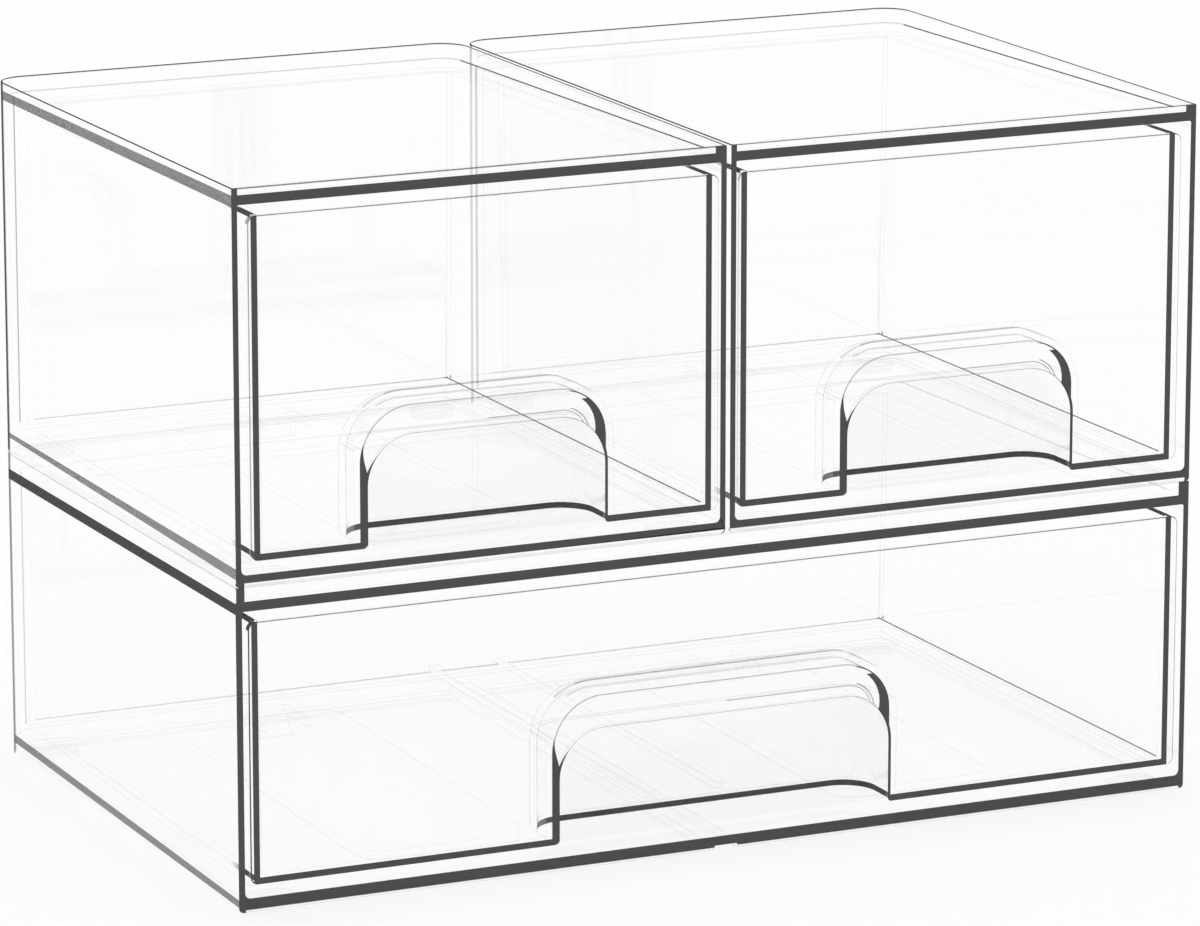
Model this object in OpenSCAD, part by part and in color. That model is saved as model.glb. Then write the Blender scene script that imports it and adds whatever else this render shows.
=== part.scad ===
// Clear stacking drawer organiser.
// One full-width drawer unit stands below and two half-width units stand side by side on it.
// Every unit is a casing that is open at the front, and a drawer that slides out of it.
// The fronts face -Y, +X is to the right, and the feet stand on z = 0 round the Z axis.

/* [Stack] */
// Width of the lower casing, and so of the whole stack
stack_w = 330; // [280:1:420]
// Depth of every casing, front to back
casing_d = 206; // [170:1:260]
// Height of the lower casing, from the foot of its walls to the top of its rim
lower_h = 102.4; // [95:0.1:160]
// Height of an upper casing, from the foot of its walls to the top of its rim
upper_h = 122.9; // [105:0.1:190]
// Free gap between the two upper casings
unit_gap = 1.6; // [0.8:0.1:4]

/* [Casing walls] */
// Thickness of the side and back walls
wall_t = 1.8; // [1.6:0.1:2.6]
// Rounding along the foot of the side walls, outside
wall_foot_r = 1.2; // [0.4:0.1:1.4]
// Thickness of the lower casing's top plate
lower_plate_t = 3; // [2:0.1:4]
// Thickness of an upper casing's top plate
upper_plate_t = 2.9; // [2:0.1:4]
// Thickness of the lower casing's floor plate
lower_floor_t = 3; // [2:0.1:4]
// Thickness of an upper casing's floor plate
upper_floor_t = 2.3; // [1.8:0.1:4]
// Outer radius of the upright rear corners
rear_r = 10; // [6:0.5:16]
// Radius inside the chamber, where a side wall meets the floor plate
floor_fillet = 1.8; // [0.6:0.1:3]
// Draft of the moulding: how far a top plate falls from front to back
plate_fall = 2.6; // [0.4:0.1:4]
// Draft of the moulding: how far a floor plate rises from front to back
floor_rise = 1.9; // [0.4:0.1:3]

/* [Stacking rim and foot] */
// Thickness of the rim that stands round each top plate
rim_t = 2.6; // [1.8:0.1:4]
// Height of the lower casing's rim at the front
lower_rim_h = 4.6; // [3.6:0.1:8]
// Height of an upper casing's rim at the front
upper_rim_h = 2.4; // [1.5:0.1:8]
// Sideways play between a rim and the foot ring that nests in it
nest_gap = 0.6; // [0.3:0.1:1.2]
// Thickness of the foot ring
ring_t = 1.6; // [1.2:0.1:2.4]
// How far the foot ring reaches below the walls
ring_drop = 0.9; // [0.3:0.1:1.4]
// Height of the floor plate over the foot of the walls, at the front
skirt_h = 1.4; // [1:0.1:3]

/* [Floor windows] */
// Width of each window in the floor plates
window_w = 56; // [40:1:90]
// Distance of a window's front edge from the casing's front
window_front = 29; // [20:1:60]
// Distance of a window's rear edge from the casing's back
window_rear = 19; // [14:1:40]
// Corner radius of a window
window_r = 9; // [3:0.5:15]

/* [Feet] */
// Length of a foot pad, along the front
foot_l = 15; // [11:0.5:24]
// Width of a foot pad, front to back
foot_w = 9; // [5:0.5:10]
// Thickness of a foot pad
foot_t = 2.4; // [1.6:0.1:3]
// Height that a foot pad shows below the walls
foot_out = 1.8; // [1.5:0.1:2.6]
// Free margin between a foot pad and the foot ring
foot_margin = 1.5; // [0.5:0.1:4]
// Width of the moulded seat that shows round a foot pad
seat_border = 0.8; // [0.4:0.1:1.2]

/* [Drawers] */
// Thickness of the drawer walls
drawer_wall_t = 2; // [1.6:0.1:3]
// Thickness of the drawer floors
drawer_floor_t = 2.2; // [1.6:0.1:3]
// Thickness of the front panels
panel_t = 2.2; // [1.8:0.1:4]
// How far the front panels stand back from the casing's front
panel_recess = 0.4; // [0.2:0.1:5]
// Gap between a front panel and each side wall of its casing
panel_side_gap = 2; // [0.8:0.1:3]
// Share of that gap by which an upper drawer has settled towards the middle of the stack
settle_share = 0.65; // [0:0.05:0.8]
// Gap between a front panel and the top plate over it
panel_top_gap = 3.6; // [3:0.1:8]
// Gap between a drawer and the floor plate, at the front
drawer_bottom_gap = 4; // [3:0.1:8]
// Width of the lip by which a front panel covers the gap beside the tray
panel_lip = 1.7; // [0.8:0.1:4]
// Corner radius of a front panel
panel_r = 2.5; // [1:0.1:5]
// Gap between a tray and the back wall of its casing
tray_rear_gap = 3.2; // [1:0.1:10]
// Radius of a tray's upright rear corners, outside
tray_rear_r = 6; // [4:0.5:14]
// Draft of a tray's side walls: how far each leans in at the floor
tray_draft = 0.7; // [0:0.1:1.5]

/* [Finger pockets] */
// Width of an upper drawer's finger pocket, at its mouth
upper_pocket_w = 79.5; // [60:0.5:110]
// Height of an upper drawer's finger pocket, behind the front panel
upper_pocket_h = 43.3; // [40:0.1:60]
// Height of the mouth in an upper front panel
upper_mouth_h = 34.5; // [30:0.1:38]
// Width of the lower drawer's finger pocket, at its mouth
lower_pocket_w = 114.8; // [70:0.5:160]
// Height of the lower drawer's finger pocket, behind the front panel
lower_pocket_h = 46.2; // [40:0.1:60]
// Height of the mouth in the lower front panel
lower_mouth_h = 36.1; // [30:0.1:38]
// Depth of a finger pocket behind the front face
pocket_d = 23; // [19:0.5:32]
// Radius of the arch over the mouth
arch_r = 15.5; // [14.5:0.5:20]
// How far the front panel reaches in beside the mouth, in front of the pocket's jambs
jamb_lip = 1.4; // [1.3:0.1:3]
// Rounding of the mouth's two lower corners
mouth_foot_r = 1.2; // [0.4:0.1:1.2]
// Radius of the scoop, where the pocket turns into its back wall
scoop_r = 11; // [8:0.5:14]
// Thickness of the wall round a finger pocket
pocket_wall_t = 2.3; // [1.6:0.1:3]

/* [Runners, ribs and stops] */
// Width of the runners that carry a drawer
runner_w = 3; // [2:0.1:5]
// Distance of a runner's middle from the side wall of the casing
runner_inset = 8; // [7:0.5:14]
// Clearance between a runner and the drawer on it
runner_clear = 0.3; // [0.2:0.1:0.6]
// Distance of a runner's front end from the casing's front
runner_front = 12; // [8:1:30]
// Spacing of the two stiffening ribs on the wide drawer's floor
rib_pitch = 25; // [16:1:60]
// Width of a stiffening rib
rib_w = 4; // [2:0.5:6]
// Height of a stiffening rib
rib_h = 2.4; // [1:0.1:4]
// Distance between a stiffening rib and the finger pocket
rib_front_gap = 3; // [1:0.5:12]
// Distance of a stop's catching face from the tray's rear face
stop_inset = 32; // [27:1:60]
// Width of the springy tongue that carries a stop
tongue_w = 15; // [10:0.5:24]
// Length of the slits beside the tongue
slit_l = 22; // [16:0.5:30]
// Width of the slits beside the tongue
slit_w = 1.3; // [0.8:0.1:2]
// Thickness of a stop, front to back, at its tip
stop_t = 2.4; // [1.5:0.1:4]
// How far a stop reaches below the upper face of the floor plate
stop_catch = 1.2; // [0.8:0.1:1.6]
// Clearance between a stop's ends and the slits
stop_end_gap = 1; // [0.5:0.1:2]

/* [Hidden] */
$fn = 64;
EPS = 0.01;
CUT = 5;

// Planes and sizes of the stack
front_y = -casing_d / 2;
back_y = casing_d / 2;
upper_w = (stack_w - unit_gap) / 2;
cell_x = (upper_w + unit_gap) / 2;
lower_z = foot_out;
upper_z = lower_z + lower_h;
step_in = rim_t + nest_gap;
ring_in = step_in + ring_t;

// Heights inside a casing, measured from the foot of its walls
lower_floor_top = skirt_h + lower_floor_t;
upper_floor_top = skirt_h + upper_floor_t;
lower_ceiling = lower_h - lower_rim_h - lower_plate_t;
upper_ceiling = upper_h - upper_rim_h - upper_plate_t;

// Sizes of the drawers
lower_panel_w = stack_w - 2 * (wall_t + panel_side_gap);
upper_panel_w = upper_w - 2 * (wall_t + panel_side_gap);
lower_panel_h = lower_ceiling - panel_top_gap - lower_floor_top - drawer_bottom_gap;
upper_panel_h = upper_ceiling - panel_top_gap - upper_floor_top - drawer_bottom_gap;
panel_y = front_y + panel_recess;
tray_rear_y = back_y - wall_t - tray_rear_gap;
upper_settle = settle_share * panel_side_gap;
stop_y = tray_rear_y - stop_inset;
window_front_y = front_y + window_front;
window_rear_y = back_y - window_rear;
floor_slope = floor_rise / casing_d;
plate_slope = plate_fall / casing_d;

// Places of the foot pads
foot_edge = ring_in + foot_margin;
seat_z = foot_t - foot_out;

// ---------- Profiles ----------

// Plan of a casing or tray: square at the front, rounded at the rear
module rear_rounded_plan(w, y0, y1, r) {
    translate([-w / 2, y0]) square([w, y1 - y0 - r]);
    translate([-w / 2 + r, y0]) square([w - 2 * r, y1 - y0]);
    for (side = [-1, 1])
        translate([side * (w / 2 - r), y1 - r]) circle(r = r);
}

// Rounded rectangle from its lower left corner
module rounded_rect(w, h, r) {
    translate([r, 0]) square([w - 2 * r, h]);
    translate([0, r]) square([w, h - 2 * r]);
    for (x = [r, w - r], y = [r, h - r])
        translate([x, y]) circle(r = r);
}

// Stadium, long along X, round its centre
module stadium(l, w) {
    square([l - w, w], center = true);
    for (side = [-1, 1])
        translate([side * (l - w) / 2, 0]) circle(d = w);
}

// Front outline of a casing's body, with its foot rounded on both sides
module body_outline(w, h) {
    translate([-w / 2, wall_foot_r]) square([w, h - wall_foot_r]);
    translate([-w / 2 + wall_foot_r, 0]) square([w - 2 * wall_foot_r, h]);
    for (side = [-1, 1])
        translate([side * (w / 2 - wall_foot_r), wall_foot_r]) circle(r = wall_foot_r);
}

// A side profile, drawn as y and z, carried across the width w
module across(w) {
    translate([-w / 2, 0, 0]) rotate([90, 0, 90]) linear_extrude(w) children();
}

// A front profile, drawn as x and z, carried back from y0 to y1
module along_depth(y0, y1) {
    translate([0, y1, 0]) rotate([90, 0, 0]) linear_extrude(y1 - y0) children();
}

// ---------- Casings ----------

// Space over a top plate, inside the rim; the plate falls towards the back
module rim_pocket(w, h, rim_h) {
    intersection() {
        linear_extrude(h + CUT)
            rear_rounded_plan(w - 2 * rim_t, front_y + rim_t, back_y - rim_t, rear_r - rim_t);
        across(w) polygon([
            [front_y, h - rim_h],
            [back_y, h - rim_h - plate_fall],
            [back_y, h + CUT],
            [front_y, h + CUT]
        ]);
    }
}

// Chamber for the drawer, open at the front; its ceiling falls and its floor rises
module chamber(w, floor_top, ceiling) {
    inner_w = w - 2 * wall_t;
    intersection() {
        linear_extrude(ceiling + CUT)
            rear_rounded_plan(inner_w, front_y - CUT, back_y - wall_t, rear_r - wall_t);
        across(w) polygon([
            [front_y - CUT, floor_top - CUT * floor_slope],
            [back_y, floor_top + floor_rise],
            [back_y, ceiling - plate_fall],
            [front_y - CUT, ceiling + CUT * plate_slope]
        ]);
        translate([-inner_w / 2, 0, floor_top - EPS]) along_depth(front_y - 2 * CUT, back_y) {
            translate([floor_fillet, 0]) square([inner_w - 2 * floor_fillet, ceiling]);
            translate([0, floor_fillet]) square([inner_w, ceiling]);
            for (x = [floor_fillet, inner_w - floor_fillet])
                translate([x, floor_fillet]) circle(r = floor_fillet);
        }
    }
}

// Hollow under a floor plate, inside the foot ring of one cell
module foot_hollow(x, cell_w) {
    translate([x, 0, 0]) intersection() {
        translate([0, 0, -CUT]) linear_extrude(2 * CUT + floor_rise)
            rear_rounded_plan(cell_w - 2 * ring_in, front_y + ring_in, back_y - ring_in, rear_r - ring_in);
        across(cell_w) polygon([
            [front_y, -CUT],
            [back_y, -CUT],
            [back_y, skirt_h + floor_rise],
            [front_y, skirt_h]
        ]);
    }
}

// Foot ring of one cell: it nests inside the rim of the casing below
module foot_ring(x, cell_w) {
    translate([x, 0, -ring_drop]) linear_extrude(ring_drop + skirt_h)
        rear_rounded_plan(cell_w - 2 * step_in, front_y + step_in, back_y - step_in, rear_r - step_in);
}

// Level seat on the sloping underside, for one foot pad
module foot_seat(x, y) {
    translate([x, y, seat_z]) linear_extrude(skirt_h + floor_rise - seat_z)
        stadium(foot_l + 2 * seat_border, foot_w + 2 * seat_border);
}

// Rounded window through the floor plate
module floor_window(x) {
    translate([x - window_w / 2, window_front_y, -CUT])
        linear_extrude(skirt_h + upper_floor_t + lower_floor_t + floor_rise + CUT)
            rounded_rect(window_w, window_rear_y - window_front_y, window_r);
}

// Level runner on the sloping floor, with round ends
module runner(x, floor_top) {
    runner_l = casing_d - wall_t - runner_front - rear_r;
    translate([x, front_y + runner_front + runner_l / 2, floor_top - EPS])
        linear_extrude(drawer_bottom_gap - runner_clear + EPS)
            rotate(90) stadium(runner_l, runner_w);
}

// Casing with one foot ring and one floor window for each cell
module casing(w, h, rim_h, floor_top, ceiling, cells) {
    cell_w = upper_w;
    runner_x = w / 2 - wall_t - runner_inset;
    difference() {
        union() {
            intersection() {
                linear_extrude(h) rear_rounded_plan(w, front_y, back_y, rear_r);
                along_depth(front_y, back_y) body_outline(w, h);
            }
            for (x = cells) foot_ring(x, cell_w);
        }
        rim_pocket(w, h, rim_h);
        chamber(w, floor_top, ceiling);
        for (x = cells) {
            foot_hollow(x, cell_w);
            floor_window(x);
        }
        if (len(cells) > 1) cell_channel();
    }
    for (side = [-1, 1]) {
        runner(side * runner_x, floor_top);
        for (y = [front_y + foot_edge + foot_w / 2, back_y - foot_edge - foot_w / 2])
            foot_seat(side * (w / 2 - foot_edge - foot_l / 2), y);
    }
}

// Channel between the two foot rings of the wide casing
module cell_channel() {
    across(unit_gap + 2 * step_in) polygon([
        [front_y - CUT, -CUT],
        [back_y + CUT, -CUT],
        [back_y + CUT, skirt_h + floor_rise + CUT * floor_slope],
        [front_y - CUT, skirt_h - CUT * floor_slope]
    ]);
}

module lower_casing() {
    color("gainsboro") translate([0, 0, lower_z])
        casing(stack_w, lower_h, lower_rim_h, lower_floor_top, lower_ceiling, [-cell_x, cell_x]);
}

module upper_casing(side) {
    color("gainsboro") translate([side * cell_x, 0, upper_z])
        casing(upper_w, upper_h, upper_rim_h, upper_floor_top, upper_ceiling, [0]);
}

// ---------- Feet ----------

// One soft foot pad under a corner of a casing, w wide, whose walls stand at height z
module foot(x, w, z, side, end) {
    color("whitesmoke")
        translate([
            x + side * (w / 2 - foot_edge - foot_l / 2),
            end * (casing_d / 2 - foot_edge - foot_w / 2),
            z - foot_out
        ])
            linear_extrude(foot_t) stadium(foot_l, foot_w);
}

// ---------- Drawers ----------

// Side profile of a scoop: depth runs along x from the front, height along y, with a round far corner
module scoop_profile(depth, height, r, front) {
    translate([-front, 0]) square([depth - r + front, height]);
    translate([-front, 0]) square([depth + front, height - r]);
    intersection() {
        translate([depth - r, height - r]) circle(r = r);
        square([depth, height]);
    }
}

// Arched scoop of width w and height h over z = 0, as deep as depth behind y = 0.
// Its edge is rounded by r all along the arch, where the pocket turns into its back wall.
// It starts at the distance front before y = 0 and the distance below under z = 0.
module scoop(w, h, corner_r, depth, r, front, below) {
    half = w / 2 - corner_r;
    crown_z = h - corner_r;
    // Straight crown of the arch
    translate([-half, 0, crown_z]) rotate([90, 0, 90])
        linear_extrude(2 * half) scoop_profile(depth, corner_r, r, front);
    // Round shoulders, turned about the depth axis
    for (side = [-1, 1])
        translate([side * half, 0, crown_z]) rotate([-90, side < 0 ? -90 : 0, 0]) rotate([0, 0, -90])
            rotate_extrude(angle = 90) mirror([1, -1])
                scoop_profile(depth, corner_r, r, front);
    // Upright jambs down to the floor, and the space between them
    translate([0, 0, -below]) linear_extrude(crown_z + below)
        for (side = [0, 1])
            mirror([side, 0]) mirror([1, -1]) scoop_profile(depth, w / 2, r, front);
}

// Front view of a pocket's mouth: arched above, with its two lower corners rounded off
module mouth_profile(w, h) {
    translate([-w / 2, -CUT]) square([w, h - arch_r + CUT]);
    translate([-w / 2 + arch_r, 0]) square([w - 2 * arch_r, h]);
    for (side = [0, 1]) mirror([side, 0]) {
        translate([w / 2 - arch_r, h - arch_r]) circle(r = arch_r);
        translate([w / 2, 0]) difference() {
            translate([-EPS, -CUT]) square([mouth_foot_r + EPS, mouth_foot_r + CUT]);
            translate([mouth_foot_r, mouth_foot_r]) circle(r = mouth_foot_r);
        }
    }
}

// Tray profile seen from the front; the side walls lean in towards the floor
module tray_profile(w, h, inset, z0) {
    foot_half = w / 2 - tray_draft - inset;
    top_half = w / 2 - inset;
    polygon([[-foot_half, z0], [foot_half, z0], [top_half, h], [-top_half, h]]);
}

// Tray solid from the panel to the rear wall, drawn in by inset and up from z0
module tray_form(w, h, inset, z0, y0) {
    intersection() {
        along_depth(y0, tray_rear_y - inset) tray_profile(w, h + z0, inset, z0);
        translate([0, 0, -CUT]) linear_extrude(h + 3 * CUT)
            rear_rounded_plan(w + CUT - 2 * inset, y0, tray_rear_y - inset, tray_rear_r - inset);
    }
}

// Wedge stop that hangs from the tongue: upright in front, ramped behind
module stop_wedge(x, reach) {
    translate([x, 0, 0]) across(tongue_w - 2 * stop_end_gap) polygon([
        [stop_y, EPS],
        [stop_y, -reach],
        [stop_y + stop_t, -reach],
        [stop_y + stop_t + reach, EPS]
    ]);
}

// Two slits that free a springy tongue in the drawer floor
module tongue_slits(x) {
    for (side = [-1, 1])
        translate([x + side * (tongue_w + slit_w) / 2, stop_y + stop_t, -CUT])
            linear_extrude(2 * CUT + drawer_floor_t) rotate(90) stadium(slit_l, slit_w);
}

// Stiffening rib on a wide floor, from behind the pocket to the rear wall
module floor_rib(x) {
    rib_y0 = panel_y + pocket_d + pocket_wall_t + rib_front_gap;
    rib_y1 = tray_rear_y - drawer_wall_t;
    translate([x, 0, drawer_floor_t - EPS]) linear_extrude(rib_h + EPS) {
        translate([0, rib_y0 + rib_w / 2]) circle(d = rib_w);
        translate([-rib_w / 2, rib_y0 + rib_w / 2]) square([rib_w, rib_y1 - rib_y0 - rib_w / 2 + EPS]);
    }
}

// Drawer with its underside on z = 0
module drawer(panel_w, panel_h, mouth_w, mouth_h, pocket_h, cells, ribs) {
    tray_w = panel_w - 2 * panel_lip;
    tray_y = panel_y + panel_t;
    pocket_w = mouth_w + 2 * jamb_lip;
    pocket_r = arch_r + jamb_lip;
    difference() {
        union() {
            difference() {
                union() {
                    translate([-panel_w / 2, 0, 0])
                        along_depth(panel_y, tray_y) rounded_rect(panel_w, panel_h, panel_r);
                    tray_form(tray_w, panel_h, 0, 0, tray_y - EPS);
                }
                tray_form(tray_w, panel_h, drawer_wall_t, drawer_floor_t, tray_y);
            }
            translate([0, panel_y, 0])
                scoop(
                    pocket_w + 2 * pocket_wall_t, pocket_h + pocket_wall_t,
                    pocket_r + pocket_wall_t, pocket_d + pocket_wall_t, scoop_r + pocket_wall_t, 0, 0
                );
            for (x = ribs) floor_rib(x);
            for (x = cells) stop_wedge(x, drawer_bottom_gap + stop_catch);
        }
        // Hollow behind the panel, open below, and the mouth through the panel
        translate([0, tray_y, 0]) scoop(pocket_w, pocket_h, pocket_r, pocket_d - panel_t, scoop_r, 0, CUT);
        along_depth(panel_y - CUT, tray_y + EPS) mouth_profile(mouth_w, mouth_h);
        for (x = cells) tongue_slits(x);
    }
}

module lower_drawer() {
    color("aliceblue") translate([0, 0, lower_z + lower_floor_top + drawer_bottom_gap])
        drawer(
            lower_panel_w, lower_panel_h, lower_pocket_w, lower_mouth_h, lower_pocket_h,
            [-cell_x, cell_x], [-rib_pitch / 2, rib_pitch / 2]
        );
}

module upper_drawer(side) {
    color("aliceblue")
        translate([side * (cell_x - upper_settle), 0, upper_z + upper_floor_top + drawer_bottom_gap])
            drawer(upper_panel_w, upper_panel_h, upper_pocket_w, upper_mouth_h, upper_pocket_h, [0], []);
}

// Foot pads of the three casings
module lower_foot(side, end) {
    foot(0, stack_w, lower_z, side, end);
}

module upper_foot(unit, side, end) {
    foot(unit * cell_x, upper_w, upper_z, side, end);
}

lower_casing();
lower_drawer();
upper_casing(-1);  // upper_left_casing
upper_drawer(-1);  // upper_left_drawer
upper_casing(1);  // upper_right_casing
upper_drawer(1);  // upper_right_drawer
lower_foot(-1, -1);  // lower_foot_front_left
lower_foot(1, -1);  // lower_foot_front_right
lower_foot(-1, 1);  // lower_foot_rear_left
lower_foot(1, 1);  // lower_foot_rear_right
upper_foot(-1, -1, -1);  // upper_left_foot_front_left
upper_foot(-1, 1, -1);  // upper_left_foot_front_right
upper_foot(-1, -1, 1);  // upper_left_foot_rear_left
upper_foot(-1, 1, 1);  // upper_left_foot_rear_right
upper_foot(1, -1, -1);  // upper_right_foot_front_left
upper_foot(1, 1, -1);  // upper_right_foot_front_right
upper_foot(1, -1, 1);  // upper_right_foot_rear_left
upper_foot(1, 1, 1);  // upper_right_foot_rear_right
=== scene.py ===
# %% [markdown]
# # Three clear drawer units, dressed for the camera
#
# The object is a wide, low drawer unit of moulded acrylic with two taller units that stand side by side on it.
# The imported model already has every wall at its true size, so this script adds what a model of bare solids lacks:
# rounded edges with thin lines of painted shade, the look of clear plastic with painted shade where light is trapped,
# soft feet, a floor, light and a camera.

# %% Load the frame
import math
from functools import partial

import bpy
import numpy as np
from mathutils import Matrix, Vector


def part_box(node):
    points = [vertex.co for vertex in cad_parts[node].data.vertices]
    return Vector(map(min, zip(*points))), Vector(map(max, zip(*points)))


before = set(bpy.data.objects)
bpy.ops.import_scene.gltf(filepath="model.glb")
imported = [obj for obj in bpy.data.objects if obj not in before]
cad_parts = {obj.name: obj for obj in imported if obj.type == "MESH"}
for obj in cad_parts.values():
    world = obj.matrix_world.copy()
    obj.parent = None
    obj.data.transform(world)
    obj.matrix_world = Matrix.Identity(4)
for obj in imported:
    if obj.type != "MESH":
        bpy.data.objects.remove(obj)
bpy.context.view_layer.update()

MM = 0.001

# %% [markdown]
# ## Where each moulding stands
#
# Painted shade on clear plastic has to follow the walls: an edge looks dark exactly where a wall is seen end-on.
# So each painted shade below is written from a moulding's own box and from its wall sizes, in millimetres.
# The boxes come from the frame, and the wall sizes are named with the casings and the drawers.


# %% Measure a moulding
class Moulding:
    """A CAD node's place in the row frame with its own sizes, in millimetres, and its tones."""

    def __init__(self, node, **sizes):
        low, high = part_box(node)
        self.node = node
        self.x = (low[0] + high[0]) / 2 / MM
        self.half = (high[0] - low[0]) / 2 / MM
        self.front = low[1] / MM
        self.depth = (high[1] - low[1]) / MM
        self.foot = low[2] / MM
        self.top = high[2] / MM
        vars(self).update(sizes)

    def locate(self, spot):
        """How far a spot lies to the right of the moulding's middle, and how far behind its front."""
        return spot.x - self.x, spot.y - self.front


STACK_HALF = Moulding("lower_casing").half
print("the stack is", round(2 * STACK_HALF, 1), "mm wide")

# %% [markdown]
# ## Shader maths as plain expressions
#
# A mask such as "near the front and inside the wall" takes a dozen Math nodes.
# Wrapping a socket in a small class lets the mask be written as an expression, and the nodes follow from it.
# `&` keeps what two masks share, `|` joins them and `~` turns one round.


# %% Wrap a socket
class Wire:
    """A socket of a node tree. An expression on wires adds the Math nodes that work it out."""

    def __init__(self, tree, socket):
        self.tree = tree
        self.socket = socket

    @staticmethod
    def add(tree, kind, settings=None, inputs=None, output=0):
        """Adds a node: first its settings, then the values or links of its sockets."""
        node = tree.nodes.new(kind)
        for key, value in (settings or {}).items():
            setattr(node, key, value)
        for key, value in (inputs or {}).items():
            if isinstance(value, Wire):
                tree.links.new(value.socket, node.inputs[key])
            else:
                node.inputs[key].default_value = value
        return Wire(tree, node.outputs[output] if node.outputs else None)

    def maths(self, operation, *others):
        """One Math node on this wire and the others."""
        return Wire.add(self.tree, "ShaderNodeMath", {"operation": operation}, dict(enumerate([self, *others])))

    def __add__(self, other):
        return self.maths("ADD", other)

    __radd__ = __add__

    def __sub__(self, other):
        return self.maths("SUBTRACT", other)

    def __rsub__(self, other):
        return self.maths("MULTIPLY_ADD", -1.0, other)

    def __mul__(self, other):
        return self.maths("MULTIPLY", other)

    __rmul__ = __mul__

    def __pow__(self, other):
        return self.maths("POWER", other)

    def __abs__(self):
        return self.maths("ABSOLUTE")

    def __gt__(self, other):
        return self.maths("GREATER_THAN", other)

    def __lt__(self, other):
        return self.maths("LESS_THAN", other)

    def __and__(self, other):
        return self.maths("MULTIPLY", other)

    def __or__(self, other):
        return self.maths("MAXIMUM", other)

    def __invert__(self):
        return 1.0 - self

    def at_least(self, floor):
        """The wire, or the floor where that is more."""
        return self.maths("MAXIMUM", floor)

    def between(self, low, high):
        """1 where the wire lies between two limits."""
        return (self > low) & (self < high)

    def fall(self, start, end):
        """1 up to start, falling evenly to 0 at end."""
        settings = {"clamp": True}
        sockets = {"Value": self, "From Min": start, "From Max": end, "To Min": 1.0, "To Max": 0.0}
        return Wire.add(self.tree, "ShaderNodeMapRange", settings, sockets)


# %% [markdown]
# A spot is where painted shade stands on the surface. Its place is given in millimetres, as the wall sizes are.
# In a material it comes from the Object coordinate, so the painted shade stays on its piece when the piece moves.


# %% Find a spot on the surface
class Spot:
    """Where a point of the surface lies, in millimetres of the row frame, and which way the surface faces."""

    def __init__(self, tree, place=None, facing=None):
        place = place or Wire.add(tree, "ShaderNodeTexCoord", output="Object")
        facing = facing or Wire.add(tree, "ShaderNodeTexCoord", output="Normal")
        self.tree = tree
        self.place = place
        self.x, self.y, self.z = (part * (1.0 / MM) for part in self.split(place))
        self.nx, self.ny, self.nz = self.split(facing)

    def split(self, vector):
        """The three parts of a vector."""
        parts = Wire.add(self.tree, "ShaderNodeSeparateXYZ", {}, {0: vector})
        return [Wire(self.tree, socket) for socket in parts.socket.node.outputs]

    def uneven(self, least, spread, grains):
        """A value that soft noise lifts here and there by up to spread, with so many grains to the metre."""
        sockets = {"Vector": self.place, "Scale": grains, "Detail": 3.0}
        return least + spread * Wire.add(self.tree, "ShaderNodeTexNoise", {}, sockets)


def outside(spot):
    """1 on the outer side of a face and 0 on its inner side."""
    return ~Wire.add(spot.tree, "ShaderNodeNewGeometry", output="Backfacing")


def grazing(spot):
    """0 where a face looks straight at the eye, 1 where it is seen from its edge."""
    return Wire.add(spot.tree, "ShaderNodeLayerWeight", {}, {"Blend": 0.5}, "Facing")


def turned_away(spot, start, end):
    """1 where a round wall turns away from the eye: full at the facing ratio start, gone at end."""
    return (1.0 - grazing(spot)).fall(start, end)


def inside_arch(side, height, half, top, radius):
    """How far a point lies inside an arch with round shoulders: radius less its distance from the shoulder's middle."""
    across = (abs(side) - (half - radius)).at_least(0.0)
    up = (height - (top - radius)).at_least(0.0)
    return radius - (across**2.0 + up**2.0) ** 0.5


# %% [markdown]
# ## How clear acrylic looks
#
# A polished wall of acrylic lets nearly all light through and adds a weak mirror image at its surface.
# Light that enters a wall through its narrow end never finds the way out, so a wall seen end-on is dark grey.
# Real refraction would need hundreds of light paths for each pixel to show this cleanly.
# Here the wall is a clear film under a weak gloss, and a mask lays painted dark shade for the trapped light on the ends
# of the walls.
# The mask is worked out from the place on the moulding, so the painted shade holds from every side.

# %% Mix the plastic
CLEAR_TINT = (0.9990, 0.9990, 0.9984, 1.0)
# the colour of the painted shade that stands for light trapped in a wall seen end-on
PAINTED_SHADE_TONE = (0.080, 0.080, 0.081, 1.0)
WHITE = (1.0, 1.0, 1.0, 1.0)
HEAD_ON = 0.04  # share of light that acrylic mirrors head-on
LEVEL_SHINE = 0.15  # how much of its mirror image a level face keeps
LEVEL = 0.7  # a face lies level from this share of its normal on
# roughness: its least value, how much noise adds to it, and the noise's grains to the metre
POLISHED = (0.02, 0.03, 60.0)
CUT = (0.12, 0.1, 220.0)


def empty_tree(owner):
    """The node tree of a new material or world, without its first nodes."""
    owner.use_nodes = True
    owner.node_tree.nodes.clear()
    return owner.node_tree


def mirror(spot):
    """Schlick's share of light that an outer face mirrors: 4% head-on, all of it at a grazing angle.

    Level faces lie over other layers of plastic that scatter their mirror image, so little of it is left there.
    """
    level = abs(spot.nz) > LEVEL
    return (HEAD_ON + (1.0 - HEAD_ON) * grazing(spot) ** 5.0) * outside(spot) * (1.0 - level * (1.0 - LEVEL_SHINE))


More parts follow.
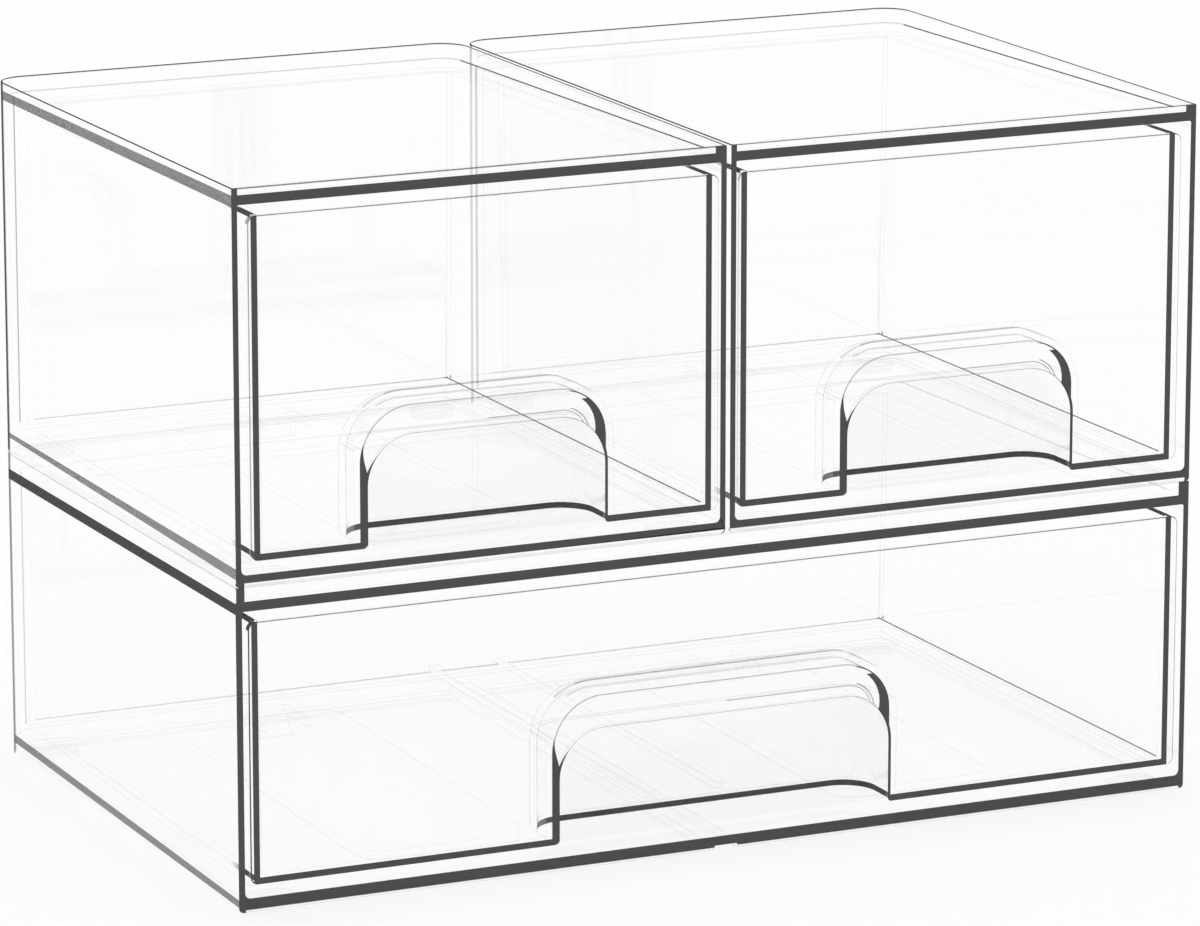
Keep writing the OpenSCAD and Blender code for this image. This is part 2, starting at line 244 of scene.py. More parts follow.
def clear_plastic(name, paint=None):
    """A material of clear film, gloss and painted shade for trapped light. paint(spot) gives how far the painted dark
    shade covers the film.
    """
    material = bpy.data.materials.new(name)
    tree = empty_tree(material)
    spot = Spot(tree)
    film = Wire.add(tree, "ShaderNodeBsdfTransparent", {}, {"Color": CLEAR_TINT})
    polish = {"Base Color": WHITE, "Metallic": 1.0, "Roughness": spot.uneven(*POLISHED)}
    gloss = Wire.add(tree, "ShaderNodeBsdfPrincipled", {}, polish)
    whole = Wire.add(tree, "ShaderNodeMixShader", {}, {0: mirror(spot), 1: film, 2: gloss})
    if paint:
        # painted dark shade, standing for the light trapped in the wall
        painted_shade = {"Base Color": PAINTED_SHADE_TONE, "Roughness": spot.uneven(*CUT), "Specular IOR Level": 0.0}
        dark = Wire.add(tree, "ShaderNodeBsdfPrincipled", {}, painted_shade)
        whole = Wire.add(tree, "ShaderNodeMixShader", {}, {0: paint(spot), 1: whole, 2: dark})
    Wire.add(tree, "ShaderNodeOutputMaterial", {}, {"Surface": whole})
    return material


CLEAR = clear_plastic("clear_acrylic")
print("clear film lets through", CLEAR_TINT[:3], "at each face")

# %% [markdown]
# ## Sorting a moulding's faces
#
# Most faces of a moulding are plain clear wall, and only a few carry painted shade for trapped light.
# A small node tree on each node sorts the faces by place and direction, and gives each kind its own material.
# A clear wall then costs almost nothing to render, although a line of sight may cross forty of them.

# %% Sort the faces
SHARP = math.radians(25.0)


def sorter(name, kinds, knife=None):
    """A geometry tree that lays each material on the faces that its rule picks: kinds is a list of (material, rule).

    It also marks the sharp edges for the bevel, except those that the rule knife picks.
    """
    tree = bpy.data.node_groups.new(name, "GeometryNodeTree")
    tree.interface.new_socket("Solid", in_out="INPUT", socket_type="NodeSocketGeometry")
    tree.interface.new_socket("Sorted", in_out="OUTPUT", socket_type="NodeSocketGeometry")
    solid = Wire.add(tree, "NodeGroupInput")
    solid = Wire.add(tree, "GeometryNodeSetShadeSmooth", {}, {"Geometry": solid, "Shade Smooth": True})
    crease = Wire.add(tree, "GeometryNodeInputMeshEdgeAngle") > SHARP
    creased = {"Geometry": solid, "Selection": crease, "Shade Smooth": False}
    solid = Wire.add(tree, "GeometryNodeSetShadeSmooth", {"domain": "EDGE"}, creased)
    spot = Spot(tree, Wire.add(tree, "GeometryNodeInputPosition"), Wire.add(tree, "GeometryNodeInputNormal"))
    marked = {"Geometry": solid, "Name": "bevel_weight_edge", "Value": crease & ~knife(spot) if knife else crease}
    store = {"domain": "EDGE", "data_type": "FLOAT"}
    solid = Wire.add(tree, "GeometryNodeStoreNamedAttribute", store, marked)
    for material, rule in kinds:
        painted = {"Geometry": solid, "Selection": rule(spot), "Material": material}
        solid = Wire.add(tree, "GeometryNodeSetMaterial", {}, painted)
    Wire.add(tree, "NodeGroupOutput", {}, {0: solid})
    return tree


# %% [markdown]
# Before the sorting, a weld joins the loose triangles of the imported solid and a planar dissolve makes whole faces.
# A bevel follows: no moulding has knife edges, and as a rounded edge bends light away, its faces carry a thin grey line
# of painted shade.

# %% Round the edges
EDGE_WIDTH = 0.32
WELD_REACH = 0.002
FLAT_ANGLE = math.radians(0.6)


def dress(part, edges, kinds, knife=None):
    """Welds, flattens, sorts and bevels a moulding with modifiers. kinds is a list of (name, rule, paint).

    Clear wall is the first material slot and the rounded edges, with their painted shade, are the second.
    """
    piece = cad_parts[part.node]
    paints = [clear_plastic(f"{part.node}_{name}", partial(paint, part)) for name, rule, paint in kinds]
    rules = [partial(rule, part) for name, rule, paint in kinds]
    piece.data.materials.clear()
    for material in (CLEAR, clear_plastic(part.node + "_edges", partial(edges, part)), *paints):
        piece.data.materials.append(material)
    piece.modifiers.new("weld", "WELD").merge_threshold = WELD_REACH * MM
    flat = piece.modifiers.new("flat", "DECIMATE")
    flat.decimate_type = "DISSOLVE"
    flat.angle_limit = FLAT_ANGLE
    tree = sorter(part.node + "_sort", list(zip(paints, rules)), knife and partial(knife, part))
    piece.modifiers.new("sort", "NODES").node_group = tree
    bevel = piece.modifiers.new("edge", "BEVEL")
    bevel.width = EDGE_WIDTH * MM
    bevel.segments = 2
    bevel.limit_method = "WEIGHT"
    bevel.use_clamp_overlap = False
    bevel.harden_normals = True
    bevel.material = 1
    faces = piece.evaluated_get(bpy.context.evaluated_depsgraph_get()).data.polygons
    slots = np.zeros(len(faces), np.int32)
    faces.foreach_get("material_index", slots)
    print(part.node, len(faces), "faces, of each kind", np.bincount(slots).tolist())


# %% [markdown]
# ## The casings
#
# All three casings share one plan, and the two upper ones are half as wide. Under each side wall runs a round,
# and a low skirt under the floor plate makes the foot ring, which stands in the rim of the unit below.
# Each casing brings its rim and plate, and how strongly the painted shade on its rims, bands and corners shows.

# %% Name the casings' sizes
CASING_DEPTH = 206.0
WALL_T = 1.8
RIM_T = 2.6
REAR_R = 10.0
WALL_FOOT_R = 1.2
SKIRT_H = 1.4
RING_DROP = 0.9
SLACK = 0.06
# plate_tone, outline_tone, second_tone, front_rim_tone and rim_tone: how strong the painted shade is on each
LOWER = dict(
    upper=0.0, rim_h=4.6, plate_t=3.0, floor_reach=0.5,
    plate_tone=1.0, outline_tone=0.35, second_tone=0.45, front_rim_tone=0.15, rim_tone=0.3,
    plate_limits=((-0.9, 2.6), (-1.0, 2.4)), floor_limits=((0.2, 2.6), (3.2, 6.0)),
)
UPPER = dict(
    upper=1.0, rim_h=2.4, plate_t=2.9, floor_reach=SLACK,
    plate_tone=0.79, outline_tone=0.65, second_tone=0.7, front_rim_tone=0.8, rim_tone=1.0,
    plate_limits=((-0.5, 3.1), (-0.3, 2.6)), floor_limits=((1.1, 4.5), (4.2, 5.8)),
)
# left_rim and left_skirt: how much of the left end of the rim and of the skirt carries painted dark shade in front
CASINGS = {
    "lower_casing": dict(LOWER, left_rim=2.6, left_skirt=0.0),
    "upper_left_casing": dict(UPPER, left_rim=1.8, left_skirt=2.6),
    "upper_right_casing": dict(UPPER, left_rim=1.8, left_skirt=0.0),
}


def measure_casing(node):
    """A casing with the heights of its walls and plates."""
    case = Moulding(node, rear_r=REAR_R, **CASINGS[node])
    case.wall_foot = case.foot + RING_DROP
    case.floor_foot = case.wall_foot + SKIRT_H
    case.plate_top = case.top - case.rim_h
    case.plate_foot = case.plate_top - case.plate_t
    return case


for name in CASINGS:
    case = measure_casing(name)
    print(name, "floor at", round(case.floor_foot, 2), "top plate at", round(case.plate_foot, 2), "mm")

# %% [markdown]
# ## Which faces carry painted shade for trapped light
#
# These rules sort the faces. The front faces and the rear corners are found alike on casings and drawers.
# The outer walls of a casing take in the round under its side walls.

# %% Pick the faces
SKIN = 0.3  # a face this near an outer plane belongs to it
STRAIGHT = 0.9  # a face looks straight along an axis from this share of its normal on
UPRIGHT = 0.3  # and stands upright up to this share


def is_front(part, spot):
    side, depth = part.locate(spot)
    return (depth < SKIN) & (spot.ny < -STRAIGHT)


def is_rear_corner(part, spot):
    side, depth = part.locate(spot)
    behind = depth > part.depth - part.rear_r
    return (abs(side) > part.half - part.rear_r) & behind & (abs(spot.nz) < UPRIGHT)


def round_foot(case, spot):
    """The round along the foot of both side walls."""
    side, depth = case.locate(spot)
    return spot.z.between(case.wall_foot, case.wall_foot + WALL_FOOT_R) & (abs(side) > case.half - WALL_FOOT_R)


def is_outer_wall(case, spot):
    side, depth = case.locate(spot)
    return (abs(side) > case.half - SKIN) | (depth > CASING_DEPTH - SKIN) | round_foot(case, spot)


# %% [markdown]
# ## The front of a casing
#
# From the front a casing shows the ends of its side walls, top plate and floor plate as one frame of painted dark
# shade.
# Above the top plate only the two ends of the rim carry it, because the front rim runs across and stays clear.
# Where the two upper casings stand side by side, their walls carry painted shade down to the floor plate only.

# %% Paint the front
RIGHT_RIM = 3.9  # how much of the right end of a rim is dark
PLATE_REACH = 0.2


def case_ends(case, spot):
    """Painted dark shade wherever the front plane cuts a wall or plate; the front rim and the skirt between walls stay
    clear.
    """
    side, depth = case.locate(spot)
    own = abs(spot.x) > STACK_HALF - WALL_T - SLACK
    whole = own | (spot.z > case.floor_foot - SLACK)
    walls = (abs(side) > case.half - WALL_T - SLACK) & (spot.z < case.plate_top) & whole
    plates = spot.z.between(case.floor_foot - case.floor_reach, case.plate_top + PLATE_REACH)
    right = side > case.half - RIGHT_RIM
    rim = (right | (side < case.left_rim - case.half)) & (spot.z > case.plate_top)
    skirt = (right & own | (side < case.left_skirt - case.half)) & (spot.z < case.floor_foot) * case.upper
    return walls | plates | rim | skirt


# %% [markdown]
# ## The sides and the back
#
# From the side and the back, the top and floor plates show as bands of painted grey shade, as their light is trapped
# lengthwise.
# The plates are drafted, so the bands fall or rise a little towards the back: plate_limits and floor_limits give
# the lower and upper limit of each band over the foot of its plate, in front and then at the back.
# There is no band where two casings stand wall to wall.

# %% Paint the sides and the back
# FLOOR_TONE: how strong the painted shade of the floor plate's band is
FLOOR_TONE = 0.77
FRONT_SKIN = 1.0
RIM_LINE = 0.16
RIM_LINE_START = 2.0


def rim_line(case, spot):
    """A thin line of painted shade under the rounded top edge of an upper rim, on the right and behind."""
    side, depth = case.locate(spot)
    shown = (side > RIM_LINE_START - case.half) | (depth > CASING_DEPTH - REAR_R)
    return (spot.z > case.top - EDGE_WIDTH - RIM_LINE) & shown * case.upper


def band(case, spot, foot, limits):
    """1 between two limits over a foot; both limits run evenly from their place in front to that at the back."""
    side, depth = case.locate(spot)
    share = depth * (1.0 / CASING_DEPTH)
    (low, high), (rear_low, rear_high) = limits
    above = spot.z - foot
    return (above > low + share * (rear_low - low)) & (above < high + share * (rear_high - high))


def case_bands(case, spot):
    """Painted grey shade where the plates meet the stack's own sides and back, and painted dark shade where a side wall
    ends in front.
    """
    side, depth = case.locate(spot)
    own = (abs(spot.x) > STACK_HALF - REAR_R) | (depth > CASING_DEPTH - SKIN)
    plate = band(case, spot, case.plate_foot, case.plate_limits) * case.plate_tone
    floor = band(case, spot, case.floor_foot, case.floor_limits) * FLOOR_TONE
    front = depth < FRONT_SKIN
    end = front & (spot.z < case.plate_top) * (1.0 - case.upper) | front & round_foot(case, spot)
    return (plate | floor) & own & outside(spot) | end | rim_line(case, spot)


# %% [markdown]
# ## The rear corners
#
# Where a round corner turns away from the eye, the wall is seen end-on again, so its outline takes painted dark shade.
# On the left of the stack the wall's inner side shows as a second painted line beside it, from the floor's band
# to the plate's. Between two casings both sides of the wall take the painted shade, and less.

# %% Paint the rear corners
CORNER_TURN = (0.3, 0.42)
CORNER_TONE = 0.3
SECOND_LINE = (7.0, 7.5)
OVER_FLOOR = 6.5
UNDER_PLATE = 1.0


def case_outline(case, spot):
    """How far inside the casing's outline a spot lies, seen from above."""
    side, depth = case.locate(spot)
    return inside_arch(side, depth, case.half, CASING_DEPTH, REAR_R)


def case_corner(case, spot):
    own = abs(spot.x) > STACK_HALF - REAR_R
    skin = case_outline(case, spot) < SKIN
    inner = ~own & (case_outline(case, spot) < WALL_T + SKIN)
    outline = turned_away(spot, *CORNER_TURN) * (case.outline_tone * own + CORNER_TONE)
    second = spot.z.between(case.floor_foot + OVER_FLOOR, case.plate_foot - UNDER_PLATE)
    second = second & (spot.x + STACK_HALF).between(*SECOND_LINE) * case.second_tone
    return (case_bands(case, spot) | second) & skin | outline & (skin | inner)


# %% [markdown]
# ## The edges of a casing
#
# The painted shade on a rounded edge is strong along the rim and in front, and faint inside.
# There is none where two edges would show as one thick line.

# %% Paint the edges and dress the casings
EDGE_REACH = 0.5
FRONT_EDGE = 0.12
INNER_EDGE = 0.07
FOOT_LINE_BEHIND = 0.35
FOOT_LINE_RIGHT = 0.95


def case_edges(case, spot):
    side, depth = case.locate(spot)
    inside = case_outline(case, spot)
    high = spot.z > case.top - EDGE_REACH
    front = (depth < FRONT_SKIN) & (case_ends(case, spot) | high * case.front_rim_tone | FRONT_EDGE)
    rim = high & (inside < EDGE_REACH) & (depth > FRONT_SKIN)
    foot = inside.between(RIM_T - EDGE_REACH, RIM_T + EDGE_REACH) & (depth > REAR_R)
    foot = foot & spot.z.between(case.plate_foot, case.plate_top + EDGE_REACH)
    behind = depth > CASING_DEPTH - REAR_R
    foot = foot & (behind * FOOT_LINE_BEHIND | (side > case.half - REAR_R) & ~behind * FOOT_LINE_RIGHT)
    return front | (rim | foot) * case.rim_tone | INNER_EDGE


for name in CASINGS:
    kinds = [
        ("bands", is_outer_wall, case_bands), ("corners", is_rear_corner, case_corner), ("ends", is_front, case_ends)
    ]
    dress(measure_casing(name), case_edges, kinds)

# %% [markdown]
# ## The drawers
#
# Behind each front panel stands the tray, and through the panel's arched mouth a finger reaches up into a hood.
# The panel stands past the tray by a lip at each side. left_flange and right_flange say how strongly the painted
# shade on the panel's own side edges shows, as each drawer lies in another place before the casings' walls.

# %% Name the drawers' sizes
DRAWER_WALL_T = 2.0
DRAWER_FLOOR_T = 2.2
PANEL_T = 2.2
PANEL_LIP = 1.7
PANEL_R = 2.5
TRAY_REAR_R = 6.0
STOP_REACH = 5.2
POCKET_DEPTH = 23.0
POCKET_WALL_T = 2.3
ARCH_R = 15.5
JAMB_LIP = 1.4
SMALL_POCKET = dict(mouth_half=39.75, mouth_h=34.5, pocket_h=43.3)
DRAWERS = {
    "lower_drawer": dict(mouth_half=57.4, mouth_h=36.1, pocket_h=46.2, left_flange=1.0, right_flange=1.0),
    "upper_left_drawer": dict(SMALL_POCKET, left_flange=0.6, right_flange=0.4),
    "upper_right_drawer": dict(SMALL_POCKET, left_flange=0.1, right_flange=0.6),
}


def measure_drawer(node):
    """A drawer whose half width and foot are the tray's, without the panel's lips and the stop's wedge."""
    tray = Moulding(node, rear_r=TRAY_REAR_R, **DRAWERS[node])
    tray.half -= PANEL_LIP
    tray.foot += STOP_REACH
    tray.pocket_half = tray.mouth_half + JAMB_LIP
    return tray


for name in DRAWERS:
    tray = measure_drawer(name)
    print(name, "tray", round(2 * tray.half, 1), "mm wide with its foot at", round(tray.foot, 2), "mm")

# %% [markdown]
# ## The lip of the finger pocket
#
# The pocket is a thin scooped shell. Its left jamb is seen end-on: a strip of painted dark shade that forks where the
# mouth's arch leaves the hood's. On the right the hood's shoulder takes painted shade as a crescent over a thin line.
# Each strip tapers as it rises, and a taper is given as its width, its start and its end.

# %% Paint the lip
HOOD_R = ARCH_R - 0.5
HOOD_SHIFT = 1.35  # the eye sees the hood this far to the left through the panel
FOOT_TURN = 2.2
OUTER_PRONG = (2.8, -12.2, -1.5)
INNER_PRONG = (1.4, -13.2, -4.0)
CRESCENT_WIDTH = 1.5
CRESCENT_TAPERS = ((2.4, -15.8, -3.3), (-4.0, -24.0, -15.8))
CRESCENT_TOP = -3.3
SHOULDER_LINE = (0.35, -0.5)  # width and top of the line that leads the crescent up over the shoulder
JAMB_LINE = (-1.0, 0.8)
JAMB_LINE_TOP = -19.0
SLIVERS = ((5.2, 5.6, -13.5, -6.0), (6.2, 6.5, -12.0, -5.0))
SLIVER_TONE = 0.6


def taper(height, width, start, end):
    """A width that falls evenly to 0 between two heights."""
    return width * height.fall(start, end)


def past_mouth(tray, spot):
    """How far a spot lies outside the mouth's arch."""
    return -1.0 * inside_arch(spot.x - tray.x, spot.z - tray.foot, tray.mouth_half, tray.mouth_h, ARCH_R)


def inside_hood(tray, spot, radius, shift=0.0):
    """How far a spot lies inside the hood's arch, which may be shifted to the left."""
    return inside_arch(spot.x - tray.x + shift, spot.z - tray.foot, tray.pocket_half, tray.pocket_h, radius)


def left_lip(tray, spot):
    """The forked strip of painted shade, with a round turn at its foot."""
    side, height = spot.x - tray.x, spot.z - tray.foot
    from_pocket = inside_hood(tray, spot, ARCH_R + JAMB_LIP, HOOD_SHIFT)
    rise = height - tray.mouth_h
    fork = from_pocket.between(0.0, taper(rise, *OUTER_PRONG)) | (past_mouth(tray, spot) < taper(rise, *INNER_PRONG))
    turn = (side + tray.mouth_half + FOOT_TURN).at_least(0.0) ** 2.0 + (FOOT_TURN - height).at_least(0.0) ** 2.0
    rounded = (turn < FOOT_TURN**2) | (height > FOOT_TURN)
    return fork & (from_pocket > 0.0) & rounded & (side < 0.0)


def right_lip(tray, spot):
    """The crescent of painted shade, the thin line under it and two fine slivers beside it."""
    from_hood = inside_hood(tray, spot, HOOD_R, HOOD_SHIFT)
    rise = spot.z - tray.foot - tray.pocket_h
    width = CRESCENT_WIDTH + sum(taper(rise, *part) for part in CRESCENT_TAPERS)
    line_width, line_top = SHOULDER_LINE
    crescent = from_hood.between(0.0, width) & (rise < CRESCENT_TOP)
    crescent = crescent | from_hood.between(0.0, line_width) & (rise < line_top)
    line = past_mouth(tray, spot).between(*JAMB_LINE) & (rise < JAMB_LINE_TOP)
    first, second = (from_hood.between(*part[:2]) & rise.between(*part[2:]) for part in SLIVERS)
    return (crescent | line | (first | second) * SLIVER_TONE) & (spot.x - tray.x > 0.0)


# %% [markdown]
# ## The panel and the tops of the walls
#
# The ends of the tray's side walls and floor meet the panel, so they show through it as a U of painted dark shade, one
# wall thick.
# The tops of the side walls and the floor's edge carry painted shade near the front too, and fade further back.

# %% Paint the panel and the rims
TRAY_SHIFT = 0.7
NEAR_FRONT = 13.0
FAR_FRONT = 22.0
TOP_REACH = 0.9
SIDE_REACH = 1.0
HOOK_REACH = 0.8
TRAY_TURN = (0.15, 0.35)
TRAY_CORNER_TONE = 0.4


def panel_ends(tray, spot):
    """A U of painted dark shade where the tray meets the panel, and the pocket's lip."""
    side, height = spot.x - tray.x, spot.z - tray.foot
    behind = side + TRAY_SHIFT
    walls = abs(behind).between(tray.half - DRAWER_WALL_T, tray.half)
    in_mouth = (side < 0.0) & (side > -tray.mouth_half - FOOT_TURN)
    floor = (height < DRAWER_FLOOR_T) & (abs(behind) < tray.half) & ~in_mouth
    return walls | floor | left_lip(tray, spot) | right_lip(tray, spot)


def wall_tops(tray, spot):
    """Painted dark shade near the front on the tops of the tray's side walls."""
    side, depth = tray.locate(spot)
    on_wall = abs(side) > tray.half - DRAWER_WALL_T - SLACK
    return (spot.z > tray.top - TOP_REACH) & on_wall & depth.fall(NEAR_FRONT, FAR_FRONT)


def is_rim(tray, spot):
    side, depth = tray.locate(spot)
    outer = abs(side) > tray.half - SIDE_REACH
    hook = outer & (spot.z > tray.top - PANEL_R) & (abs(spot.ny) < UPRIGHT)
    return ((spot.nz > STRAIGHT) & (spot.z > tray.top - SKIN)) | ((abs(spot.nx) > STRAIGHT) & outer) | hook


def tray_rim(tray, spot):
    """Painted shade on the tops of the side walls, the tray floor's edge on the outside and the panel's rounded left
    corner.
    """
    side, depth = tray.locate(spot)
    lower = (spot.z < tray.foot + DRAWER_FLOOR_T) & outside(spot) & depth.fall(NEAR_FRONT, FAR_FRONT)
    behind = (wall_tops(tray, spot) | lower) & (depth > PANEL_T) & (abs(side) < tray.half + SKIN)
    hook = (-1.0 * side > tray.half - HOOK_REACH) & (depth < PANEL_T) & (spot.z > tray.top - PANEL_R)
    return behind | hook * tray.left_flange


# painted shade where the tray's rear corners turn away from the eye
def tray_corner(tray, spot):
    return turned_away(spot, *TRAY_TURN) * TRAY_CORNER_TONE


# %% [markdown]
# ## Inside the pocket
#
# The drawer's floor is cut by the pocket, and the cut shows as a ribbon of painted dark shade at the pocket's foot.
# The ribbon is hidden from the front behind the left jamb, except for its far end.
# The hood's outlines take painted shade where the shell turns away, along its crest and along the ridge on its back.

# %% Paint the pocket
POCKET_SLACK = 0.2
HIDDEN_DEPTH = 19.0
CREST = (12.75, 13.25)  # how far under the pocket's top the crest line lies
CREST_TONE = 0.12
RIDGE = (11.0, 13.0)  # how far behind the front the ridge lies
RIDGE_HEIGHT = (-2.0, 9.0)
RIDGE_TONES = (0.25, 0.55)  # below and above the hood's own top
RIDGE_STEP = 1.6
CUT_TILT = 0.5  # the cut's face is steeper than this
HOOD_TURN = (0.03, 0.14)
HOOD_TONE = 0.5


def is_pocket(tray, spot):
    side, depth = tray.locate(spot)
    reach = POCKET_WALL_T + POCKET_SLACK
    near = (abs(side) < tray.pocket_half + reach) & (depth < POCKET_DEPTH + reach)
    return near & (spot.z < tray.foot + tray.pocket_h + reach) & (depth > PANEL_T + SKIN)


def pocket(tray, spot):
    """Painted shade: the ribbon at the foot, the crest, the ridge and the outlines of the hood."""
    side, depth = tray.locate(spot)
    height = spot.z - tray.foot
    rise = height - tray.pocket_h
    hidden = (side < -tray.mouth_half) & (depth < HIDDEN_DEPTH)
    cut = (height < DRAWER_FLOOR_T) & (abs(side) < tray.pocket_half + POCKET_SLACK)
    cut = cut & (depth < POCKET_DEPTH + POCKET_SLACK) & (abs(spot.nz) < CUT_TILT) & ~hidden
    crest = rise.between(-CREST[1], -CREST[0]) * CREST_TONE
    ridge = depth.between(*RIDGE) & rise.between(*RIDGE_HEIGHT)
    ridge = ridge & ((rise > RIDGE_STEP) * RIDGE_TONES[1] | RIDGE_TONES[0])
    return cut | crest | ridge | turned_away(spot, *HOOD_TURN) * HOOD_TONE


# %% [markdown]
# ## The edges of a drawer
#
# An edge carries painted shade as dark as the end that it borders. The panel's outline, the mouth, the hood's mouth
# and the border of the tray's floor add thin lines of painted shade. Where the tray's wall tops meet the panel's
# round corners lie slivers that a bevel would tear, so those keep a knife edge.

# %% Paint the edges and dress the drawers
TOP_EDGE = 0.75
PANEL_EDGE = 0.3
MOUTH_EDGE = 0.5
HOOD_EDGE = 0.5
FLOOR_RIGHT = 0.85
FLOOR_BEHIND = 0.45
TRAY_EDGE = 0.06
PANEL_TOP = 2.6  # how far down the panel's top edge reaches
HOOD_REACH = 0.4
HOOD_START = 10.0  # the edge of the hood's mouth shows above this height only
BORDER_WIDTH = 4.0
BORDER_START = 0.8  # how far behind the panel the floor's right border starts
BORDER_REACH = 0.6
# where the slivers lie: from the tray's side, behind the panel's back, and down from the top
KNIFE_SIDE = (1.5, 0.6)
KNIFE_DEPTH = (0.6, 1.0)
KNIFE_DOWN = 1.5


def panel_outline(tray, spot):
    """How strongly the painted shade on the edges of the panel and of its mouth shows."""
    side, depth = tray.locate(spot)
    flanges = (side < -tray.half) * tray.left_flange | (side > tray.half) * tray.right_flange
    top = (spot.z > tray.top - PANEL_TOP) * TOP_EDGE
    mouth = past_mouth(tray, spot).between(-EDGE_REACH, EDGE_REACH)
    return flanges | top | mouth * MOUTH_EDGE | PANEL_EDGE


def drawer_edges(tray, spot):
    side, depth = tray.locate(spot)
    height = spot.z - tray.foot
    front = (depth < EDGE_REACH) & (panel_ends(tray, spot) | panel_outline(tray, spot))
    hood = depth.between(PANEL_T - HOOD_REACH, PANEL_T + HOOD_REACH) & (height > HOOD_START)
    hood = hood & (abs(inside_hood(tray, spot, ARCH_R + JAMB_LIP)) < EDGE_REACH)
    on_right = (side > tray.half - BORDER_WIDTH) & (depth > PANEL_T + BORDER_START)
    behind = depth > tray.depth - DRAWER_WALL_T - BORDER_REACH
    border = (abs(height - DRAWER_FLOOR_T) < EDGE_REACH) & (on_right * FLOOR_RIGHT | behind * FLOOR_BEHIND)
    tops = wall_tops(tray, spot) & (depth > PANEL_T - EDGE_REACH)
    return front | hood * HOOD_EDGE | border | tops | TRAY_EDGE


def knife_edge(tray, spot):
    side, depth = tray.locate(spot)
    near_panel = depth.between(PANEL_T - KNIFE_DEPTH[0], PANEL_T + KNIFE_DEPTH[1]) & (spot.z > tray.top - KNIFE_DOWN)
    return abs(side).between(tray.half - KNIFE_SIDE[0], tray.half + KNIFE_SIDE[1]) & near_panel


for name in DRAWERS:
    kinds = [
        ("rims", is_rim, tray_rim), ("corners", is_rear_corner, tray_corner),
        ("pocket", is_pocket, pocket), ("ends", is_front, panel_ends),
    ]
    dress(measure_drawer(name), drawer_edges, kinds, knife_edge)

# %% [markdown]
# ## Soft feet
#
# Each casing stands on four small stadium-shaped pads of clear silicone. They are hazier than the acrylic,
# so they show as a faint grey shape with a slightly darker rim, and never as a solid colour.

# %% Dress the feet
RUBBER_GRAIN = (0.45, 0.2, 900.0)
HAZE = (0.015, 0.02, 400.0)
HAZE_TURN = (0.05, 0.25)
HAZE_RIM = 0.25
silicone = bpy.data.materials.new("soft_silicone")
tree = empty_tree(silicone)
spot = Spot(tree)
rubber = {"Base Color": (0.62, 0.63, 0.63, 1.0), "Roughness": spot.uneven(*RUBBER_GRAIN)}
skin = Wire.add(tree, "ShaderNodeBsdfPrincipled", {}, rubber)
film = Wire.add(tree, "ShaderNodeBsdfTransparent", {}, {"Color": (0.985, 0.985, 0.985, 1.0)})
haze = spot.uneven(*HAZE) + HAZE_RIM * turned_away(spot, *HAZE_TURN)
whole = Wire.add(tree, "ShaderNodeMixShader", {}, {0: haze, 1: film, 2: skin})
Wire.add(tree, "ShaderNodeOutputMaterial", {}, {"Surface": whole})
feet = [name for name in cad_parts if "_foot_" in name]
for name in feet:
    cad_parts[name].data.materials.clear()
    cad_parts[name].data.materials.append(silicone)
print(len(feet), "feet")

# %% [markdown]
# ## Floor and light
#
# The photograph shows the object on pure white. The floor is a pale sheet that still takes a soft shadow.
# To the eye it glows a little, which lifts it to the photograph's white without washing the shadow out.

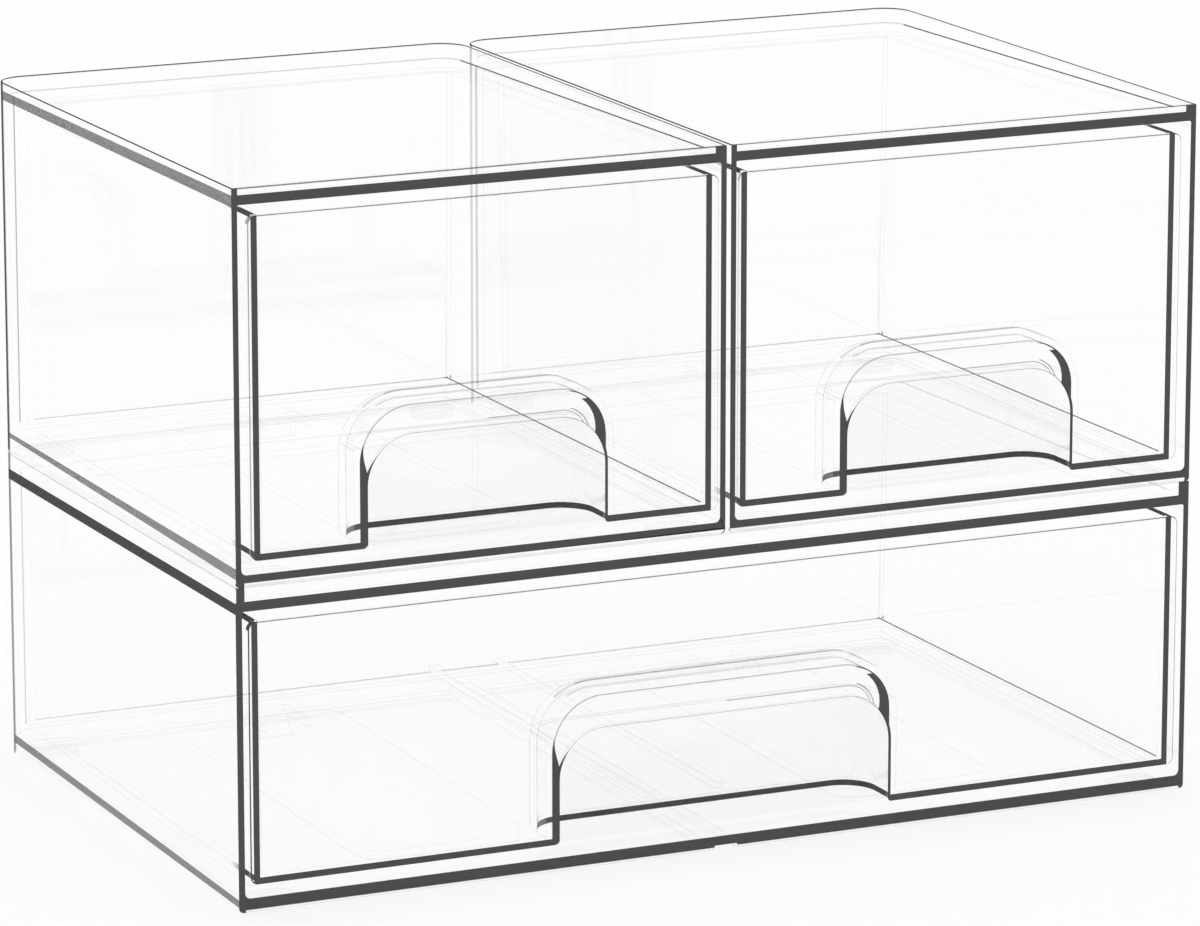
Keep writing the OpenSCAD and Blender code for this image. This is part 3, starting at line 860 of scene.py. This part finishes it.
# %% Lay the floor
FLOOR_REACH = 4.0
GLOW = 0.7
corners = np.array([(-1.0, -1.0, 0.0), (1.0, -1.0, 0.0), (1.0, 1.0, 0.0), (-1.0, 1.0, 0.0)]) * FLOOR_REACH
floor_mesh = bpy.data.meshes.new("floor")
floor_mesh.from_pydata(corners.tolist(), [], [(0, 1, 2, 3)])
floor = bpy.data.objects.new("floor", floor_mesh)
bpy.context.collection.objects.link(floor)
pale = bpy.data.materials.new("pale_floor")
tree = empty_tree(pale)
sheet = Wire.add(tree, "ShaderNodeBsdfDiffuse", {}, {"Color": (0.97, 0.97, 0.97, 1.0)})
straight, mirrored, through = (
    Wire.add(tree, "ShaderNodeLightPath", output=f"Is {kind} Ray") for kind in ("Camera", "Glossy", "Transmission")
)
white = Wire.add(tree, "ShaderNodeEmission", {}, {"Color": WHITE, "Strength": 1.0})
seen = straight | mirrored | through
blend = Wire.add(tree, "ShaderNodeMixShader", {}, {0: seen * GLOW, 1: sheet, 2: white})
Wire.add(tree, "ShaderNodeOutputMaterial", {}, {"Surface": blend})
floor_mesh.materials.append(pale)
print("floor", 2 * FLOOR_REACH, "m wide")

# %% [markdown]
# The world is an even white room, which is the plainest soft studio light.
# An even room needs no aimed rays, and without them a clear pixel is much cheaper to render.

# %% Light the room
world = bpy.data.worlds.new("white_room")
tree = empty_tree(world)
room = Wire.add(tree, "ShaderNodeBackground", {}, {"Color": WHITE, "Strength": 1.0})
Wire.add(tree, "ShaderNodeOutputWorld", {}, {"Surface": room})
world.cycles.sampling_method = "NONE"
scene = bpy.context.scene
scene.world = world
scene.view_settings.view_transform = "Standard"
scene.cycles.transparent_max_bounces = 96
print("a line of sight may cross", scene.cycles.transparent_max_bounces, "faces")

# %% [markdown]
# ## Camera
#
# The photograph was taken with a long lens from the front left, a little above the top plates.
# The direction, the distance and the lens were found by fitting the corners of the stack.

# %% Set the camera
AZIMUTH = math.radians(25.05)
ELEVATION = math.radians(13.33)
DISTANCE = 2.258
LENS = 208.6
AIM = Vector((0.0042, 0.0, 0.1041))
look = Vector((math.sin(AZIMUTH) * math.cos(ELEVATION), math.cos(AZIMUTH) * math.cos(ELEVATION), -math.sin(ELEVATION)))
camera_data = bpy.data.cameras.new("camera")
camera_data.lens = LENS
camera_data.sensor_width = 36.0
camera_data.clip_end = 50.0
camera = bpy.data.objects.new("camera", camera_data)
camera.location = AIM - look * DISTANCE
camera.rotation_euler = look.to_track_quat("-Z", "Y").to_euler()
bpy.context.collection.objects.link(camera)
scene.camera = camera
print("camera at", [round(v, 3) for v in camera.location])
